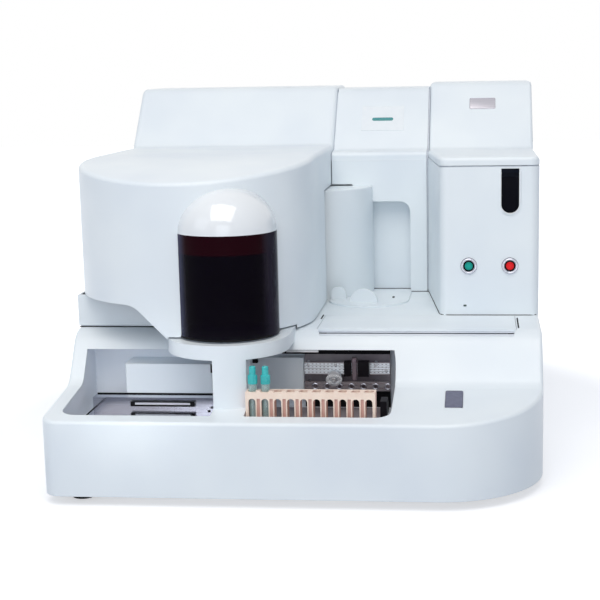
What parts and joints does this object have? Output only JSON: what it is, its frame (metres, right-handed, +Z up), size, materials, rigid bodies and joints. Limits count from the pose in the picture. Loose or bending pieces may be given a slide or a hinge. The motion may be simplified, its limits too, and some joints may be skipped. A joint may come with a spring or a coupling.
{
  "type": "coagulation analyzer",
  "caption": "Bench blood clotting analyzer with a drum shaped light shield lid, smoked round window, rack pools and a cuvette tower.",
  "frame": {"origin": "on the bench, under the centre of the body", "axes": "+X to the right seen from the front, +Y from the front to the back, +Z up"},
  "size_m": [0.775, 0.895, 0.626],
  "materials": {
    "shell_white": "satin moulded plastic",
    "trough_white": "fine matt moulded plastic",
    "dome_white": "polished moulded plastic",
    "smoked_glass": "smoked, polished",
    "steel_plain": "brushed",
    "steel_bright": "polished",
    "panel_grey": "satin paint",
    "plate_dark": "satin paint",
    "black_plastic": "matt",
    "rubber_black": "matt",
    "rack_beige": "matt moulded",
    "tube_clear": "clear",
    "cap_teal": "glossy",
    "light_teal": "lens",
    "plate_white": "satin film",
    "button_green": "glossy",
    "button_red": "glossy",
    "bezel_grey": "satin",
    "key_slate": "satin",
    "rotor_grey": "matt",
    "arm_white": "satin",
    "bottle_white": "translucent white",
    "vial_amber": "amber",
    "bin_grey": "matt"
  },
  "bodies": {
    "frame": {"lower_housing": "shell_white", "centre_hood": "shell_white", "tower_panel": "shell_white", "left_sill": "shell_white", "centre_wall": "shell_white", "window_seat": "shell_white", "detector_housing": "shell_white", "rack_pools": "trough_white", "bottle_well": "trough_white", "rack_readers": "trough_white", "tower_window": "smoked_glass", "base_plate": "panel_grey", "rear_panel": "panel_grey", "power_supply": "steel_plain", "power_inlet": "black_plastic", "fan_frame": "black_plastic", "fluid_ports": "black_plastic", "rubber_feet": "rubber_black", "reagent_bottles": "bottle_white", "indicator_plate": "plate_white", "indicator_light": "light_teal", "button_bezels": "bezel_grey", "button_sleeves": "black_plastic", "cuvette_bin": "bin_grey", "lid_hinges": "steel_plain", "analysis_deck": "trough_white", "deck_guides": "steel_plain", "wash_station": "arm_white", "pump_cover": "trough_white", "reagent_well": "bin_grey", "return_tray": "steel_bright", "pool_back_plate": "plate_dark", "pool_rails": "steel_bright", "pool_sensors": "black_plastic"},
    "main_lid": {"main_lid": "shell_white", "view_window": "smoked_glass", "view_dome": "dome_white"},
    "hopper_cover": {"hopper_cover": "shell_white"},
    "deck_lid": {"deck_lid": "shell_white"},
    "reagent_cover": {"reagent_cover": "trough_white"},
    "reagent_table": {"reagent_table": "rotor_grey", "reagent_vials": "vial_amber"},
    "reaction_rotor": {"reaction_rotor": "rotor_grey"},
    "sample_lift": {"sample_lift": "steel_bright"},
    "sample_arm": {"sample_arm": "arm_white", "sample_probe": "steel_bright"},
    "reagent_lift": {"reagent_lift": "steel_bright"},
    "reagent_arm": {"reagent_arm": "arm_white", "reagent_probe": "steel_bright"},
    "start_button": {"start_button": "button_green"},
    "stop_button": {"stop_button": "button_red"},
    "shelf_key": {"shelf_key": "key_slate"},
    "power_rocker": {"power_rocker": "black_plastic"},
    "rack_pusher": {"rack_pusher": "plate_white"},
    "sample_rack": {"sample_rack": "rack_beige", "sample_tubes": "tube_clear", "tube_caps": "cap_teal"},
    "fan_rotor": {"fan_rotor": "black_plastic"},
    "feed_rotor": {"feed_rotor": "rotor_grey"}
  },
  "joints": [
    {"name": "main_lid_hinge", "type": "hinge", "parent": "frame", "child": "main_lid", "pos_m": [-0.19025, 0.432, 0.604], "axis": [-1, 0, 0], "range_deg": [0, 60]},
    {"name": "hopper_cover_hinge", "type": "hinge", "parent": "frame", "child": "hopper_cover", "pos_m": [0.29, 0.432, 0.604], "axis": [-1, 0, 0], "range_deg": [0, 60]},
    {"name": "deck_lid_hinge", "type": "hinge", "parent": "frame", "child": "deck_lid", "pos_m": [0.183, -0.107, 0.2325], "axis": [-1, 0, 0], "range_deg": [0, 80]},
    {"name": "reagent_cover_lift", "type": "slide", "parent": "frame", "child": "reagent_cover", "axis": [0, 0, 1], "range_m": [0, 0.06]},
    {"name": "reagent_table_spin", "type": "hinge", "parent": "frame", "child": "reagent_table", "pos_m": [0.055, 0.03, 0.138], "axis": [0, 0, 1], "continuous": true},
    {"name": "reaction_rotor_spin", "type": "hinge", "parent": "frame", "child": "reaction_rotor", "pos_m": [-0.235, -0.02, 0.226], "axis": [0, 0, 1], "continuous": true},
    {"name": "sample_arm_lower", "type": "slide", "parent": "frame", "child": "sample_lift", "axis": [0, 0, -1], "range_m": [0, 0.055]},
    {"name": "sample_arm_swing", "type": "hinge", "parent": "sample_lift", "child": "sample_arm", "pos_m": [-0.04833, -0.13659, 0.306], "axis": [0, 0, -1], "range_deg": [0, 80.68]},
    {"name": "reagent_arm_lower", "type": "slide", "parent": "frame", "child": "reagent_lift", "axis": [0, 0, -1], "range_m": [0, 0.055]},
    {"name": "reagent_arm_swing", "type": "hinge", "parent": "reagent_lift", "child": "reagent_arm", "pos_m": [-0.1365, 0.06227, 0.306], "axis": [0, 0, -1], "range_deg": [0, 88.56]},
    {"name": "start_button_press", "type": "slide", "parent": "frame", "child": "start_button", "axis": [0, 1, 0], "range_m": [0, 0.002]},
    {"name": "stop_button_press", "type": "slide", "parent": "frame", "child": "stop_button", "axis": [0, 1, 0], "range_m": [0, 0.002]},
    {"name": "shelf_key_press", "type": "slide", "parent": "frame", "child": "shelf_key", "axis": [0, 0.1305, -0.9914], "range_m": [0, 0.0015]},
    {"name": "power_rocker_tilt", "type": "hinge", "parent": "frame", "child": "power_rocker", "pos_m": [0.25, 0.4415, 0.08], "axis": [1, 0, 0], "range_deg": [-8, 8]},
    {"name": "rack_pusher_slide", "type": "slide", "parent": "frame", "child": "rack_pusher", "axis": [0, -1, 0], "range_m": [0, 0.02]},
    {"name": "sample_rack_slide", "type": "slide", "parent": "frame", "child": "sample_rack", "axis": [0, 1, 0], "range_m": [0, 0.1]},
    {"name": "fan_rotor_spin", "type": "hinge", "parent": "frame", "child": "fan_rotor", "pos_m": [-0.23, 0.4445, 0.125], "axis": [0, 1, 0], "continuous": true},
    {"name": "feed_rotor_spin", "type": "hinge", "parent": "frame", "child": "feed_rotor", "pos_m": [0.304, 0.0425, 0.34], "axis": [1, 0, 0], "continuous": true}
  ]
}
